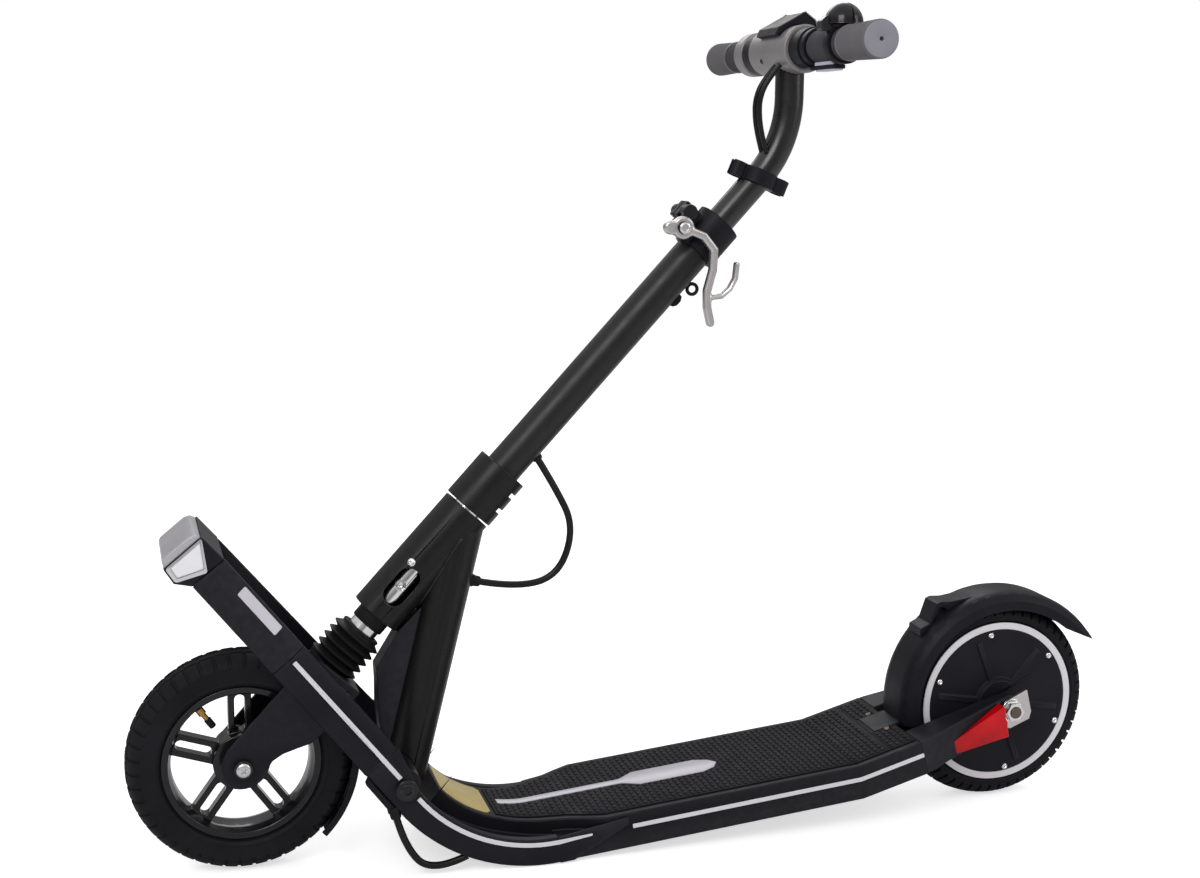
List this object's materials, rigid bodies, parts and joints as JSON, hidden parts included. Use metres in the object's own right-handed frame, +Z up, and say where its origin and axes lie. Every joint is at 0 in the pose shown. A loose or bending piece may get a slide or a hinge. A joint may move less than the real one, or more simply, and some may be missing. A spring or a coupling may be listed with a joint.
{
  "type": "folding electric kick scooter",
  "caption": "Folding electric kick scooter, half folded, with telescopic stem, sprung fork, hub-motor rear wheel, curved twin-rail front and lit rail strips.",
  "frame": {"origin": "bottom centre of the overall box, on the ground", "axes": "+X from the front wheel to the rear wheel, +Y to the scooter's right, +Z up"},
  "size_m": [1.0187, 0.416, 0.822],
  "materials": {
    "black_frame": "satin",
    "black_plastic": "satin",
    "lens": "satin",
    "strip": "satin",
    "deck_black": "satin",
    "pack_plastic": "matte",
    "mat_rubber": "matte",
    "lamp_red": "gloss",
    "silver": "satin",
    "stator_steel": "satin",
    "polished": "polished",
    "bolt_black": "satin",
    "cable": "satin",
    "stem_black": "satin",
    "boot_rubber": "matte",
    "rim_black": "satin",
    "tyre": "matte",
    "brass": "satin",
    "grey_alloy": "satin",
    "grip_grey": "matte",
    "white_ring": "satin"
  },
  "bodies": {
    "frame": {"left_rail": "black_frame", "right_rail": "black_frame", "rail_covers": "black_plastic", "nose_housing": "black_frame", "lamp_lenses": "lens", "light_strips": "strip", "deck_tray": "deck_black", "bottom_cover": "deck_black", "battery_pack": "pack_plastic", "motor_controller": "pack_plastic", "deck_mat": "mat_rubber", "rear_arms": "deck_black", "tail_lamps": "lamp_red", "dropout_plates": "silver", "rear_axle": "silver", "rear_axle_nuts": "silver", "motor_stator": "stator_steel", "rear_fender": "black_plastic", "fender_bracket": "black_plastic", "fold_bolt": "bolt_black", "hinge_covers": "black_plastic", "lower_cable": "cable"},
    "front_arm": {"hinge_block": "black_frame", "strut_tube": "black_frame", "gusset": "black_frame", "head_tube": "black_frame", "head_bearings": "stator_steel", "upper_cable": "cable"},
    "steering": {"stanchion": "polished", "clamp_collar": "stem_black", "stem_tube": "stem_black", "height_clamp": "stem_black", "clamp_skewer": "bolt_black"},
    "lever": {"clamp_lever": "silver"},
    "fork": {"fork_legs": "black_frame", "fork_crown": "black_frame", "boot": "boot_rubber", "fork_spring": "stator_steel", "front_mudguard": "black_plastic", "front_axle": "silver"},
    "front_wheel": {"front_rim": "rim_black", "front_bearings": "stator_steel", "front_tyre": "tyre", "valve_stem": "brass"},
    "upper_stem": {"upper_stem_tube": "stem_black", "bar_hub": "grey_alloy", "handlebar": "stem_black", "grips": "boot_rubber", "grip_ends": "grip_grey", "bar_clamps": "black_plastic", "right_flange": "grey_alloy", "display": "black_plastic", "bell": "black_plastic", "stem_clip": "black_plastic", "bar_cables": "cable"},
    "throttle": {"throttle_lever": "black_plastic"},
    "rear_wheel": {"hub_shell": "rim_black", "hub_covers": "rim_black", "rim_rings": "white_ring", "rear_tyre": "tyre"}
  },
  "joints": [
    {"name": "fold", "type": "hinge", "parent": "frame", "child": "front_arm", "pos_m": [-0.254, 0, 0.0905], "axis": [0, 1, 0], "range_deg": [-30, 40]},
    {"name": "steer", "type": "hinge", "parent": "front_arm", "child": "steering", "pos_m": [-0.39634, 0, 0.10327], "axis": [0.6756, 0, 0.7373], "range_deg": [-12, 12], "deforming": ["upper_cable"]},
    {"name": "suspension", "type": "slide", "parent": "steering", "child": "fork", "axis": [0.6756, 0, 0.7373], "range_m": [0, 0.018], "stiffness_N_per_m": 8000, "springref_m": -0.01, "deforming": ["boot", "fork_spring"]},
    {"name": "height", "type": "slide", "parent": "steering", "child": "upper_stem", "axis": [0.6756, 0, 0.7373], "range_m": [-0.04, 0.12]},
    {"name": "clamp_lever_turn", "type": "hinge", "parent": "steering", "child": "lever", "pos_m": [0.02742, -0.0295, 0.61368], "axis": [0, -1, 0], "range_deg": [0, 80]},
    {"name": "throttle_turn", "type": "hinge", "parent": "upper_stem", "child": "throttle", "pos_m": [0.147, -0.067, 0.785], "axis": [0, 1, 0], "range_deg": [0, 30], "stiffness_Nm_per_rad": 0.12, "springref_deg": -20.05},
    {"name": "front_wheel_spin", "type": "hinge", "parent": "fork", "child": "front_wheel", "pos_m": [-0.4015, 0, 0.108], "axis": [0, 1, 0], "continuous": true},
    {"name": "rear_wheel_spin", "type": "hinge", "parent": "frame", "child": "rear_wheel", "pos_m": [0.3935, 0, 0.108], "axis": [0, 1, 0], "continuous": true}
  ]
}
